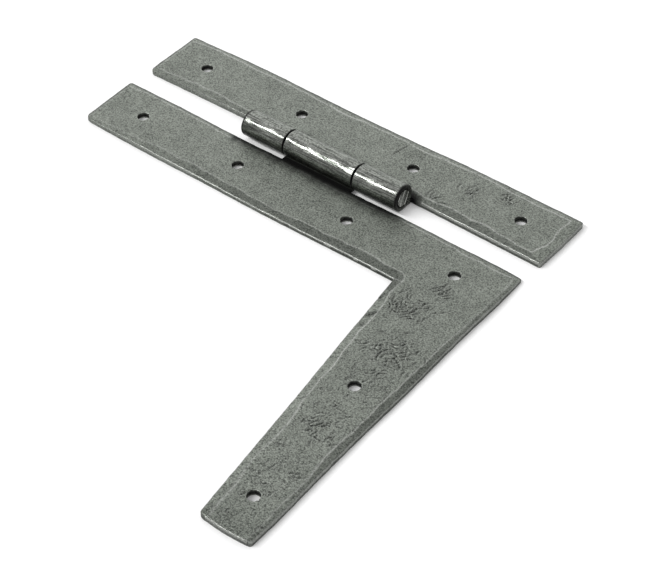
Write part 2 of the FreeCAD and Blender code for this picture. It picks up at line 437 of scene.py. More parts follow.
class Side:
    """One side of a leaf's outline: its line, its bow and its row of hammer facets."""

    def __init__(self, start, end, bow, facets, rng):
        self.start = np.array(start, float)
        self.length = math.dist(start, end)
        self.along = (np.array(end, float) - self.start) / self.length
        self.inward = np.array((-self.along[1], self.along[0]))
        self.bow = bow
        self.phases = rng.uniform(0, 2 * math.pi, len(EDGE_WAVES))
        self.look = facets
        self.facets = []
        middle = rng.uniform(*FIRST_FACET) * facets.spacing
        while middle < self.length + facets.spacing:
            span = facets.spacing * rng.uniform(1 - FACET_SPREAD, 1 + FACET_SPREAD)
            power = self.strength_at(middle)
            uneven = rng.uniform(1 - FACET_SPREAD, 1 + FACET_SPREAD, 2)
            drop = facets.drop * power * uneven[0]
            reach = facets.reach * math.sqrt(power) * uneven[1]
            self.facets.append((middle, drop, reach, span / 2))
            middle += span

    def strength_at(self, s):
        """Strength of the hammer facets at distances along the side."""
        return curve_through(self.look.strength, np.clip(s / self.length, 0, 1))

    def outward_at(self, s):
        """How far the edge lies outside its straight line."""
        fade = ramp(np.minimum(s, self.length - s), 0, EDGE_WAVE_FADE)
        waves = zip(EDGE_WAVES, self.phases)
        ripple = sum(height * np.sin(s / wave + phase) for (wave, height), phase in waves)
        return curve_through(self.bow, s / self.length) + EDGE_WAVE_SHARE * fade * ripple

    def ridge_points(self):
        """Plan points along the ridge where the facets meet the face."""
        s = np.arange(0, self.length, RIDGE_STEP)
        reach = np.zeros(len(s))
        for middle, _, span, half in self.facets:
            reach = np.maximum(reach, span * (1 - FACET_CUSP * ((s - middle) / half) ** 2))
        inside = reach - self.outward_at(s)
        return self.start + s[:, None] * self.along + inside[:, None] * self.inward

    def place_of(self, points):
        """Distance along the side and inside its edge."""
        away = points - self.start
        s = away @ self.along
        return s, away @ self.inward + self.outward_at(np.clip(s, 0, self.length))

    def facet_depth(self, points):
        """How far the hammer facets lie below the face at plan points. It is negative off the facets."""
        s, d = self.place_of(points)
        beyond = np.maximum(0, np.maximum(-s, s - self.length))
        d = np.where(beyond > 0, np.hypot(np.maximum(d, 0), beyond), d)
        deepest = np.full(len(points), -1.0)
        for middle, drop, reach, half in self.facets:
            facet = drop * (1 - d / reach) - drop * FACET_CUSP * ((s - middle) / half) ** 2
            deepest = np.maximum(deepest, facet)
        return deepest


def facet_depths(points, sides):
    """Depth of the deepest facet at plan points, and the side that it belongs to."""
    depths = np.stack([side.facet_depth(points) for side in sides])
    return depths.max(0), depths.argmax(0)


def rounded_outline(sides, radii):
    """Points of a closed outline with rounded corners, and the inward directions there."""
    count = len(sides)
    bends = []
    for i, side in enumerate(sides):
        before = sides[i - 1].along
        turn = math.atan2(before[0] * side.along[1] - before[1] * side.along[0], before @ side.along)
        bends.append((turn, radii[i] * math.tan(abs(turn) / 2)))
    points = []
    for i, side in enumerate(sides):
        turn, reach = bends[i]
        before = sides[i - 1]
        first = side.start - before.along * reach
        spoke = -before.inward * radii[i] * math.copysign(1, turn)
        centre = first - spoke
        steps = max(CORNER_STEPS, math.ceil(abs(turn) * radii[i] / (0.5 * RIM_PITCH)))
        points.extend(centre + turned(spoke, turn * step / steps) for step in range(steps + 1))
        last = side.length - bends[(i + 1) % count][1]
        places = np.linspace(reach, last, math.ceil((last - reach) / RIM_PITCH) + 1)[1:-1]
        points.extend(side.start + side.along * s - side.inward * side.outward_at(s) for s in places)
    points = np.array(points)
    return points, left_normals(np.roll(points, -1, 0) - np.roll(points, 1, 0))


def triangulated(rings, closed, loose):
    """Triangles over plan points. The closed rings are kept as edges, the first being the outside."""
    points = np.concatenate(list(rings) + [loose])
    edges = []
    first = 0
    owner = np.full(len(points), -1)
    for i, ring in enumerate(rings):
        count = len(ring)
        if closed[i]:
            edges.extend((first + k, first + (k + 1) % count) for k in range(count))
            owner[first:first + count] = i
        first += count
    found = delaunay_2d_cdt([Vector(p) for p in points], edges, [], 1, MERGE_GAP)
    origin = [source[0] for source in found[3]]
    triangles = np.array([[origin[v] for v in face] for face in found[2]])
    a, b, c = (points[triangles[:, k]] for k in range(3))
    area = (b[:, 0] - a[:, 0]) * (c[:, 1] - a[:, 1]) - (b[:, 1] - a[:, 1]) * (c[:, 0] - a[:, 0])
    triangles[area < 0] = triangles[area < 0][:, ::-1]
    own = owner[triangles]
    in_hole = (own[:, 0] > 0) & (own[:, 0] == own[:, 1]) & (own[:, 1] == own[:, 2])
    return points, triangles[~in_hole]


def inside_only(points, outline, inward, margin, holes, hole_margin):
    """The plan points that lie well inside an outline and outside its holes."""
    tree = KDTree(len(outline))
    for i, point in enumerate(outline):
        tree.insert((*point, 0), i)
    tree.balance()
    keep = []
    for point in points:
        _, i, distance = tree.find((*point, 0))
        keep.append(distance > margin and (point - outline[i]) @ inward[i] > 0)
    points = points[keep]
    for centre in holes:
        points = points[np.linalg.norm(points - centre, axis=1) > hole_margin]
    return points


def grid_inside(outline, inward, margin, holes, hole_margin, pitch, rng):
    """Uneven grid of plan points inside an outline and outside its holes."""
    low = outline.min(0)
    high = outline.max(0)
    grid = []
    for k, y in enumerate(np.arange(low[1], high[1], pitch * ROW_RATIO)):
        x = np.arange(low[0] + pitch * 0.5 * (k % 2), high[0], pitch)
        grid.append(np.stack([x, np.full(len(x), y)], 1))
    grid = np.concatenate(grid)
    grid += rng.uniform(-GRID_JITTER, GRID_JITTER, grid.shape) * pitch
    return inside_only(grid, outline, inward, margin, holes, hole_margin)


def ring_round(centre, radius):
    """Points of a hole's edge. The radius may change from point to point."""
    radius = np.broadcast_to(radius, HOLE_POINTS)[:, None]
    return np.array(centre) + radius * circle_points(HOLE_POINTS)


def round_over(inset, radius):
    """Drop of a rounded edge at a distance inside it."""
    return radius - np.sqrt(radius ** 2 - np.maximum(0, radius - inset) ** 2)


def rounding_and_highlight_share(x):
    """Share of the full arris rounding and painted edge highlight along the length."""
    return np.interp(x, ROUNDING_AND_HIGHLIGHT_X, ROUNDING_AND_HIGHLIGHT_SHARE)


class Stroke:
    """Narrow bent scratch in the face, with a low lip on each side."""

    def __init__(self, start, end, bend, depth):
        start = np.array(start, float)
        end = np.array(end, float)
        count = max(3, math.ceil(math.dist(start, end) / STROKE_STEP))
        share = np.linspace(0, 1, count)[:, None]
        side = turned(end - start, math.pi / 2)
        self.line = start + (end - start) * share + side * bend * 4 * share * (1 - share)
        self.fade = np.sin(math.pi * (STROKE_END + (1 - 2 * STROKE_END) * share[:, 0])) * depth

    def extra_points(self):
        """Plan points beside the scratch, so that the mesh can follow it."""
        side = left_normals(np.gradient(self.line, axis=0))
        return np.concatenate([self.line + side * row * STROKE_WIDTH for row in STROKE_ROWS])

    def height(self, points):
        """How far the scratch lifts the face at plan points. It is negative in its groove."""
        low = self.line.min(0) - STROKE_MARGIN
        high = self.line.max(0) + STROKE_MARGIN
        near = np.where(((points > low) & (points < high)).all(1))[0]
        rise = np.zeros(len(points))
        if len(near):
            gaps = np.linalg.norm(points[near][:, None] - self.line[None], axis=2)
            gap = gaps.min(1) / STROKE_WIDTH
            groove = -bell(gap) + LIP_HEIGHT * bell((gap - LIP_PLACE) / LIP_WIDTH)
            rise[near] = groove * self.fade[gaps.argmin(1)]
        return rise


def scuffs(patches, rng):
    """Short scratches scattered over patches of the face."""
    strokes = []
    for x, y, half_x, half_y, count, power in patches:
        for _ in range(count):
            across = rng.normal(0, STROKE_SCATTER) * half_x
            start = np.array((x + across, y + rng.normal(0, STROKE_SCATTER) * half_y))
            angle = math.radians(STROKE_ANGLE + rng.normal(0, 1) * STROKE_SPREAD)
            end = start + turned((rng.uniform(*STROKE_LENGTH), 0), angle)
            depth = power * rng.uniform(*STROKE_DEPTH)
            strokes.append(Stroke(start, end, rng.uniform(-STROKE_BEND, STROKE_BEND), depth))
    return strokes


def face_dents(outline, rng):
    """Shallow round marks of a planishing hammer, and small pits, over the face."""
    low = outline.min(0)
    high = outline.max(0)
    dents = []
    for area, radii, depths in (DENTS, FACE_PITS):
        for _ in range(int(np.prod(high - low) / area)):
            place = rng.uniform(low, high)
            dents.append((*place, rng.uniform(*radii), rng.uniform(*depths)))
    return dents


def face_height(points, sides, dents, strokes):
    """Height of the hammered front face at plan points."""
    deepest, _ = facet_depths(points, sides)
    height = PLATE - 0.5 * (deepest + np.sqrt(deepest ** 2 + RIDGE_SOFTNESS ** 2))
    for x, y, radius, depth in dents:
        near = ((points[:, 0] - x) ** 2 + (points[:, 1] - y) ** 2) / radius ** 2
        height -= depth * np.exp(-2 * near)
    for stroke in strokes:
        height += stroke.height(points)
    return height


def face_grain(points, rng):
    """Fine roughness of the face, coarser towards the foot of the leg."""
    coarse = ramp(points[:, 1], GRAIN_FROM_Y, GRAIN_TO_Y)
    return rng.normal(0, 1, len(points)) * between(GRAIN_HEIGHT, coarse)


def arris_radii(outline, sides, rng):
    """Radius of the arris along an outline: uneven where it was worn, and rounder where it stayed dull."""
    worn = rng.uniform(0, 1, len(outline) // WORN_STEP)
    worn = np.interp(np.arange(len(outline)), np.arange(len(worn)) * WORN_STEP, worn)
    radii = between(ARRIS_RADIUS, worn * rounding_and_highlight_share(outline[:, 0]))
    _, owner = facet_depths(outline, sides)
    shine = np.array([side.look.edge_shine for side in sides])[owner]
    radii = np.where(shine < DULL_SHINE, DULL_ARRIS, radii)
    width = 2 * ARRIS_BLUR + 1
    padded = np.concatenate([radii[-ARRIS_BLUR:], radii, radii[:ARRIS_BLUR]])
    return np.convolve(padded, np.full(width, 1 / width), "valid")


class Shell:
    """Collects the points and faces of one closed mesh."""

    def __init__(self):
        self.points = []
        self.faces = []
        self.count = 0

    def add(self, plan, heights):
        """Adds plan points at heights, and returns the index of the first."""
        first = self.count
        block = np.column_stack([plan, np.broadcast_to(heights, len(plan))])
        self.points.append(block)
        self.count += len(block)
        return first

    def cap(self, rim, count, points, triangles):
        """Fills a loop. The first points of the triangles are the loop's own, the rest are new."""
        first = self.add(points[count:, :2], points[count:, 2]) - count
        self.faces.extend(np.where(triangles < count, triangles + rim, triangles + first).tolist())

    def wall(self, upper, lower, count, inner=False):
        """Band of faces between two closed loops. An inner band faces the middle of its loop."""
        for i in range(count):
            j = (i + 1) % count
            band = (upper + i, lower + i, lower + j, upper + j)
            self.faces.append(band[::-1] if inner else band)

    def mesh_object(self, name):
        """The finished mesh, in metres, as an object of the scene."""
        mesh = bpy.data.meshes.new(name)
        mesh.from_pydata((np.concatenate(self.points) * MM).tolist(), [], self.faces)
        return placed(name, mesh)


def placed(name, data):
    """New object of the scene."""
    thing = bpy.data.objects.new(name, data)
    bpy.context.scene.collection.objects.link(thing)
    return thing


def forged_plate(name, corners, radii, bows, facets, holes, patches, lines, thin, seed):
    """Plate with hammered edges, a worn arris, drilled holes and a flat back."""
    rng = np.random.default_rng(seed)
    count = len(corners)
    sides = [Side(corners[i], corners[(i + 1) % count], bows[i], facets[i], rng) for i in range(count)]
    outline, inward = rounded_outline(sides, radii)
    dents = face_dents(outline, rng) + list(thin)
    strokes = scuffs(patches, rng)
    strokes += [Stroke(line[:2], line[2:], SCRATCH_BEND, SCRATCH_DEPTH) for line in lines]

    arris = arris_radii(outline, sides, rng)
    rings = [outline + inward * inset for inset in ARRIS_INSETS]
    drops = [round_over(inset, arris) for inset in ARRIS_INSETS]
    closed = [True] + [False] * (len(rings) - 1)
    for centre in holes:
        burr = np.repeat(rng.uniform(-HOLE_BURR, HOLE_BURR, HOLE_POINTS // 2), 2)
        for inset in HOLE_INSETS:
            rings.append(ring_round(centre, HOLE_RADIUS + inset + burr * (1 - inset / HOLE_INSETS[-1])))
            drops.append(np.full(HOLE_POINTS, round_over(inset, HOLE_RIM)))
            closed.append(inset == 0)
    margin = ARRIS_INSETS[-1] + 0.5 * FACE_PITCH
    hole_margin = HOLE_RADIUS + HOLE_INSETS[-1] + 0.5 * FACE_PITCH
    loose = grid_inside(outline, inward, margin, holes, hole_margin, FACE_PITCH, rng)
    beside = [stroke.extra_points() for stroke in strokes] + [side.ridge_points() for side in sides]
    beside = inside_only(np.concatenate(beside), outline, inward, margin, holes, hole_margin)
    plan, triangles = triangulated(rings, closed, np.concatenate([loose, beside]))
    heights = face_height(plan, sides, dents, strokes)
    on_rings = sum(len(drop) for drop in drops)
    heights[:on_rings] -= np.concatenate(drops)
    heights[on_rings:] += face_grain(plan[on_rings:], rng)

    shell = Shell()
    shell.add(plan, heights)
    shell.faces.extend(triangles.tolist())

    wall_height = heights[:len(outline)] - BACK_EDGE
    bands = [(-bulge, BACK_EDGE + wall_height * share) for share, bulge in WALL_BULGES]
    bands += [(share * BACK_EDGE, round_over(share * BACK_EDGE, BACK_EDGE)) for share in BACK_SHARES]
    upper = 0
    for inset, level in bands:
        lower = shell.add(outline + inward * inset, level)
        shell.wall(upper, lower, len(outline))
        upper = lower

    back_rings = [outline + inward * BACK_EDGE] + [ring_round(c, HOLE_RADIUS + HOLE_RIM) for c in holes]
    back_loose = grid_inside(outline, inward, BACK_PITCH, holes, HOLE_RADIUS + BACK_PITCH, BACK_PITCH, rng)
    back_plan, back_triangles = triangulated(back_rings, [True] * len(back_rings), back_loose)
    back = shell.add(back_plan, 0.0)
    shell.faces.extend((back_triangles[:, ::-1] + back).tolist())
    shell.wall(upper, back, len(outline))

    first = len(outline) * len(ARRIS_INSETS)
    back_first = back + len(outline)
    for centre in holes:
        upper = first
        rim_top = heights[first:first + HOLE_POINTS]
        for share in HOLE_SHARES:
            lower = shell.add(ring_round(centre, HOLE_RADIUS), HOLE_RIM + (rim_top - HOLE_RIM) * share)
            shell.wall(upper, lower, HOLE_POINTS, inner=True)
            upper = lower
        shell.wall(upper, back_first, HOLE_POINTS, inner=True)
        first += HOLE_POINTS * len(HOLE_INSETS)
        back_first += HOLE_POINTS
    return shell.mesh_object(name), sides


class KnuckleMarks:
    """Waves, axial grooves, pits and a flattened spot of a knuckle."""

    def __init__(self, start_x, end_x, pit_count, pits, flat, rng):
        self.rng = rng
        self.flat = flat
        self.phases = rng.uniform(0, 2 * math.pi, (len(KNUCKLE_WAVES), 2))
        self.grooves = []
        for _ in range(KNUCKLE_GROOVES):
            low, high = np.sort(rng.uniform(start_x, end_x, 2))
            tilt = math.radians(rng.uniform(*GROOVE_TILTS))
            self.grooves.append((tilt, rng.uniform(*GROOVE_WIDTH), rng.uniform(*GROOVE_DEPTH), low, high))
        self.pits = [(x, math.radians(tilt), radius, depth) for x, tilt, radius, depth in pits]
        for _ in range(pit_count):
            x = rng.uniform(start_x, end_x)
            tilt = math.radians(rng.uniform(*PIT_TILTS))
            self.pits.append((x, tilt, rng.uniform(*PIT_RADIUS), rng.uniform(*PIT_DEPTH)))

    def sink(self, x, tilts):
        """How far the surface lies below its circle round one station."""
        sink = np.zeros(len(tilts))
        for (height, wave, turns), (phase, twist) in zip(KNUCKLE_WAVES, self.phases):
            sink += height * (1 + np.sin(x / wave + phase) * np.sin(turns * tilts + twist))
        sink += self.rng.normal(0, KNUCKLE_GRAIN, len(tilts))
        for tilt, width, depth, low, high in self.grooves:
            sink += depth * ramp(min(x - low, high - x), 0, GROOVE_FADE) * bell((tilts - tilt) / width)
        for place, tilt, radius, depth in self.pits:
            gap = (x - place) ** 2 + ((tilts - tilt) * KNUCKLE_RADIUS) ** 2
            sink += depth * np.exp(-2 * gap / radius ** 2)
        if self.flat:
            low, high, tilt, depth = self.flat
            cut = KNUCKLE_RADIUS - depth * ramp(x, low, high)
            lean = np.cos(tilts - math.radians(tilt))
            sink = np.maximum(sink, KNUCKLE_RADIUS - cut / np.maximum(lean, LEAST_LEAN))
        return sink


def rolled_knuckle(name, start_x, end_x, leaf_side, bore, pit_count, pits, flat, seed):
    """Tongue that leaves the leaf, passes under the pin and curls over it back to the leaf."""
    rng = np.random.default_rng(seed)
    marks = KnuckleMarks(start_x, end_x, pit_count, pits, flat, rng)
    free_end = -math.asin((bore - SEAM_GAP) / KNUCKLE_RADIUS)
    steps = math.ceil((1.5 * math.pi - free_end) * KNUCKLE_RADIUS / KNUCKLE_STEP)
    turns = np.linspace(1.5 * math.pi, free_end, steps)
    tilts = leaf_side * (turns - math.pi / 2)
    tongue = np.linspace(KNUCKLE_ROOT, 0, TONGUE_STEPS, endpoint=False)
    ends = np.array(END_STEPS)
    middle = np.arange(start_x + KNUCKLE_EDGE + KNUCKLE_STEP, end_x - KNUCKLE_EDGE, KNUCKLE_STEP)
    stations = np.concatenate([start_x + ends, middle, end_x - ends[::-1]])

    shell = Shell()
    loop = 2 * (len(tongue) + len(turns))
    for x in stations:
        inset = round_over(min(x - start_x, end_x - x), KNUCKLE_EDGE)
        outer = KNUCKLE_RADIUS + KNUCKLE_SWELL - inset - marks.sink(x, tilts)
        inner = np.full(len(turns), bore + BORE_EDGE_SHARE * inset)
        across = []
        up = []
        for radius, level in ((outer, KNUCKLE_RADIUS - inset), (inner, inner[0])):
            across.append(np.concatenate([tongue, radius * np.cos(turns)]))
            up.append(AXIS_Z + np.concatenate([np.full(len(tongue), -level), radius * np.sin(turns)]))
        y = AXIS_Y + leaf_side * np.concatenate([across[0], across[1][::-1]])
        z = np.concatenate([up[0], up[1][::-1]])
        shell.add(np.stack([np.full(loop, x), y], 1), z)
    flip = leaf_side < 0
    for k in range(len(stations) - 1):
        shell.wall(k * loop, (k + 1) * loop, loop, inner=flip)
    last = (len(stations) - 1) * loop
    for i in range(loop // 2 - 1):
        cap = (i, i + 1, loop - 2 - i, loop - 1 - i)
        far = tuple(last + v for v in cap[::-1])
        shell.faces.append(cap[::-1] if flip else cap)
        shell.faces.append(far[::-1] if flip else far)
    return shell.mesh_object(name)


def joined(base, *additions):
    """One closed mesh from a plate and its knuckles."""
    for addition in additions:
        union = base.modifiers.new("union", "BOOLEAN")
        union.operation = "UNION"
        union.solver = "MANIFOLD"
        union.object = addition
    depsgraph = bpy.context.evaluated_depsgraph_get()
    mesh = bpy.data.meshes.new_from_object(base.evaluated_get(depsgraph))
    base.modifiers.clear()
    base.data = mesh
    for addition in additions:
        bpy.data.objects.remove(addition)
    return base


def cropped_pin(name, seed):
    """Round pin whose ends were cropped and left rough, each a little off its middle."""
    rng = np.random.default_rng(seed)
    circle = circle_points(PIN_POINTS)
    middle = np.array((AXIS_Y, AXIS_Z))
    shoulder = middle + PIN_RADIUS * circle
    rim = middle + PIN_RIM_SHIFT + PIN_RIM_RADIUS * circle
    crop = turned((1, 0), math.radians(CROP_ANGLE - 90))
    loose = grid_inside(rim, -circle, PIN_FACE_MARGIN, [], 0, PIN_FACE_PITCH, rng)
    plan, triangles = triangulated([rim], [True], loose)

    shell = Shell()
    loops = []
    for x, ring in ((PIN_RIM_DEPTH - BARREL_END, rim), (PIN_SHOULDER - BARREL_END, shoulder),
                    (BARREL_END - PIN_SHOULDER, shoulder), (BARREL_END - PIN_RIM_DEPTH, rim)):
        loops.append(shell.add(np.stack([np.full(PIN_POINTS, x), ring[:, 0]], 1), ring[:, 1]))
    for near, far in zip(loops, loops[1:]):
        shell.wall(near, far, PIN_POINTS)
    for side, loop in ((-1, loops[0]), (1, loops[-1])):
        reach = (plan - middle) @ crop
        depth = np.full(len(plan), PIN_RIM_DEPTH)
        for wave, height in CROP_WAVES:
            depth += height * np.sin(wave * reach + rng.uniform(0, 2 * math.pi))
        x = side * (BARREL_END - np.maximum(depth, PIN_LEAST_DEPTH))
        faces = triangles if side > 0 else triangles[:, ::-1]
        shell.cap(loop, PIN_POINTS, np.column_stack([x, plan]), faces)
    return shell.mesh_object(name)


def surface_of(mesh):
    """Points in millimetres, normals, and the mean bend at each point, positive where it is convex."""
    points = np.zeros(len(mesh.vertices) * 3)
    normals = np.zeros(len(mesh.vertices) * 3)
    edges = np.zeros(len(mesh.edges) * 2, int)
    mesh.vertices.foreach_get("co", points)
    mesh.vertices.foreach_get("normal", normals)
    mesh.edges.foreach_get("vertices", edges)
    points = points.reshape(-1, 3) / MM
    normals = normals.reshape(-1, 3)
    a, b = edges.reshape(-1, 2).T
    step = points[a] - points[b]
    square = np.maximum((step ** 2).sum(1), LEAST_SQUARE)
    bend = np.zeros(len(points))
    links = np.zeros(len(points))
    for ends, sign in ((a, 1), (b, -1)):
        np.add.at(bend, ends, sign * (step * normals[ends]).sum(1) / square)
        np.add.at(links, ends, 1)
    return points, normals, bend / np.maximum(links, 1)


def keep_finish_and_light(mesh, wear_and_highlight, grime_and_shade, polish, barrel):
    """Stores the finish, with its painted light and shade, as a colour on the points, and smooths all but the
    sharp edges.
    """
    colours = np.stack([wear_and_highlight, grime_and_shade, polish, barrel], 1)
    attribute = mesh.color_attributes.new("finish_and_light", "FLOAT_COLOR", "POINT")
    attribute.data.foreach_set("color", colours.astype(np.float32).ravel())
    mesh.shade_smooth()
    mesh.set_sharp_from_angle(angle=math.radians(SHARP_ANGLE))


def plate_finish_and_light(points, normals, bend, sides, holes, off_barrel):
    """Wear and painted highlights on the plate's ridges and edges, dark patina in its hollows, painted shade
    on its facets, dull edges and hole walls, and darkening of its walls.
    """
    plan = points[:, :2]
    x, y, z = points.T
    deepest, owner = facet_depths(plan, sides)
    drop, reach, ridge_shine, edge_shine, scale, wall = (
        np.array([getattr(side.look, name) for side in sides])[owner]
        for name in ("drop", "reach", "ridge_shine", "edge_shine", "scale", "wall")
    )
    strength = np.zeros(len(x))
    inset = np.zeros(len(x))
    for i, side in enumerate(sides):
        s, inset[owner == i] = side.place_of(plan[owner == i])
        strength[owner == i] = np.minimum(1, side.strength_at(s))
    edge_shine = edge_shine * rounding_and_highlight_share(x)
    on_edge = deepest > EDGE_FROM
    upper_half = (z > PLATE / 2) * off_barrel
    front = ramp(normals[:, 2], *FRONT_FACING) * upper_half
    upright = ramp(np.abs(normals[:, 2]), *UPRIGHT_FACING) * off_barrel
    convex = ramp(bend, *WEAR_CURVATURE) * off_barrel

    hole_gap = np.min([np.hypot(x - centre[0], y - centre[1]) for centre in holes], 0) - HOLE_RADIUS

    # Wear on high spots of the face, painted highlights along edges and ridges, and a painted sheen on some
    # walls
    wear_and_highlight = np.maximum.reduce([
        convex * np.where(on_edge, edge_shine, FACE_WEAR),
        ridge_shine * strength * front * bell(deepest * reach / (RIDGE_WIDTH * drop)),
        WALL_SHEEN * upright * np.maximum(1 - wall, 0),
        upper_half * bell(inset / EDGE_HIGHLIGHT_BAND) * np.maximum(edge_shine - DULL_SHINE, 0),
    ])
    # Dark patina in hollows, painted shade on dull edges, facets, the outer line and the hole walls, and
    # darkening of the walls
    grime_and_shade = np.maximum.reduce([
        ramp(-bend, 0, GRIME_CURVATURE),
        DULL_EDGE_SHADE * convex * on_edge * (1 - edge_shine),
        scale * strength ** 2 * front * ramp(deepest, 0, FACET_SHADE_DEPTH),
        OUTER_SHADE_LINE * front * bell(inset / OUTER_SHADE_WIDTH) * (edge_shine < DULL_SHINE),
        wall * np.interp(x, SIDE_DARKENING_X, SIDE_DARKENING) * upright * (1 - wear_and_highlight),
        upright * (hole_gap < 2 * HOLE_BURR),
    ])
    return wear_and_highlight, grime_and_shade


def barrel_finish_and_light(points, normals):
    """Painted sheen on the barrel's top, dark joints, painted shade at its ends and on its underside, and its
    polished band.
    """
    x, y, z = points.T
    tilt = np.degrees(np.arctan2(AXIS_Y - y, z - AXIS_Z))
    # Painted sheen on the barrel's top
    wear_and_highlight = np.interp(tilt, *zip(*TOP_SHEEN))
    polish = ramp(np.abs(tilt - POLISH_TILT), POLISH_SPAN, BAND_CORE * POLISH_SPAN)
    # Dark joints between the knuckles, and painted shade at the barrel's ends, strongest on the upper near
    # side
    ends = ramp(np.abs(normals[:, 0]), *END_FACING)
    for end, band in ((HALF_MIDDLE, JOINT_BAND), (OUTER_START, JOINT_BAND), (BARREL_END, END_BAND)):
        ends = np.maximum(ends, ramp(np.abs(np.abs(x) - end), band, BAND_CORE * band))
    upper_near = 0.5 + 0.5 * np.cos(np.radians(tilt - END_SHADE_TILT))
    # Painted shade also on the barrel's underside
    grime_and_shade = np.maximum(ends * between(END_GRIME_AND_SHADE, upper_near), UNDERSIDE_SHADE * ramp(tilt, *UNDERSIDE_SHADE_TILTS))
    return wear_and_highlight, grime_and_shade, polish


def shade_beside_barrel(points):
    """Painted shade on the leaves beside the barrel, with an uneven edge."""
    x, y, _ = points.T
    past_end = np.maximum(0, np.abs(x) - BARREL_END)
    gap = np.hypot(np.maximum(0, np.abs(y - AXIS_Y) - SHADE_FROM), past_end)
    reach = between((SHADE_MIDDLE, SHADE_OUTER), ramp(np.abs(x), HALF_MIDDLE, OUTER_START + SHADE_CHANGE))
    for wave, swing in SHADE_WAVES:
        reach = reach * (1 + swing * np.sin(x / wave))
    return np.exp(-(gap / reach) ** SHADE_POWER)


def paint_leaf(piece, sides, holes):
    """Finish and painted light of a plate and of its knuckles, and the painted shade between them."""
    points, normals, bend = surface_of(piece.data)
    _, y, z = points.T
    on_barrel = ramp(np.hypot(y - AXIS_Y, z - AXIS_Z), *BARREL_REACH)
    off_barrel = 1 - on_barrel
    wear_and_highlight, grime_and_shade = plate_finish_and_light(points, normals, bend, sides, holes, off_barrel)
    barrel_sheen, barrel_grime_and_shade, polish = barrel_finish_and_light(points, normals)
    wear_and_highlight = np.maximum(wear_and_highlight, on_barrel * barrel_sheen)
    # Painted shade beside the barrel joins the plate's and the barrel's darkening
    grime_and_shade = np.maximum.reduce([grime_and_shade, on_barrel * barrel_grime_and_shade, off_barrel * shade_beside_barrel(points)])
    keep_finish_and_light(piece.data, wear_and_highlight, grime_and_shade, on_barrel * polish, on_barrel)


def paint_pin(piece):
    """Painted shade round the cropped faces, dark patina in their hollows, wear on their high streaks."""
    points, _, bend = surface_of(piece.data)
    radius = np.hypot(*(points[:, 1:] - (AXIS_Y, AXIS_Z) - PIN_RIM_SHIFT).T)
    # Painted shade round the rim of each cropped face
    off_face = radius > PIN_RIM_RADIUS - PIN_SHADE_RIM
    wear_and_highlight = ramp(bend, 0, PIN_WEAR_CURVATURE) * ~off_face
    grime_and_shade = np.maximum(ramp(-bend, 0, PIN_GRIME_CURVATURE), off_face)
    none = np.zeros(len(points))
    keep_finish_and_light(piece.data, wear_and_highlight, grime_and_shade, none, none)


class Nodes:
    """Short ways to make and join shader nodes."""

    def __init__(self, tree):
        self.tree = tree
        tree.nodes.clear()

    def add(self, kind, inputs=None, **settings):
        """New node. An input is another node's output, or a plain value."""
        node = self.tree.nodes.new(kind)
        for key, value in settings.items():
            setattr(node, key, value)
        for key, value in (inputs or {}).items():
            if isinstance(value, bpy.types.NodeSocket):
                self.tree.links.new(value, node.inputs[key])
            else:
                node.inputs[key].default_value = value
        return node

    def math(self, operation, a, b, clamp=False):
        return self.add("ShaderNodeMath", {0: a, 1: b}, operation=operation, use_clamp=clamp).outputs[0]

    def plus(self, a, b):
        return self.math("ADD", a, b)

    def minus(self, a, b, clamp=False):
        return self.math("SUBTRACT", a, b, clamp)

    def times(self, a, b):
        return self.math("MULTIPLY", a, b)

    def noise(self, coords, scale, detail, roughness, distortion=0.0):
        """Cloudy pattern between 0 and 1."""
        inputs = {"Vector": coords, "Scale": scale, "Detail": detail, "Roughness": roughness}
        return self.add("ShaderNodeTexNoise", {**inputs, "Distortion": distortion}).outputs["Fac"]

    def spread(self, value, low, high, to_low=0.0, to_high=1.0):
        """Value taken from one range to another, and kept inside it."""
        inputs = {"Value": value, "From Min": low, "From Max": high, "To Min": to_low, "To Max": to_high}
        return self.add("ShaderNodeMapRange", inputs).outputs[0]

    def blend(self, factor, a, b):
        """Colour between two others."""
        return self.add("ShaderNodeMix", {0: factor, 6: a, 7: b}, data_type="RGBA").outputs[2]


def node_material(name):
    """New material, and its empty tree of nodes."""
    material = bpy.data.materials.new(name)
    material.use_nodes = True
    return material, Nodes(material.node_tree)


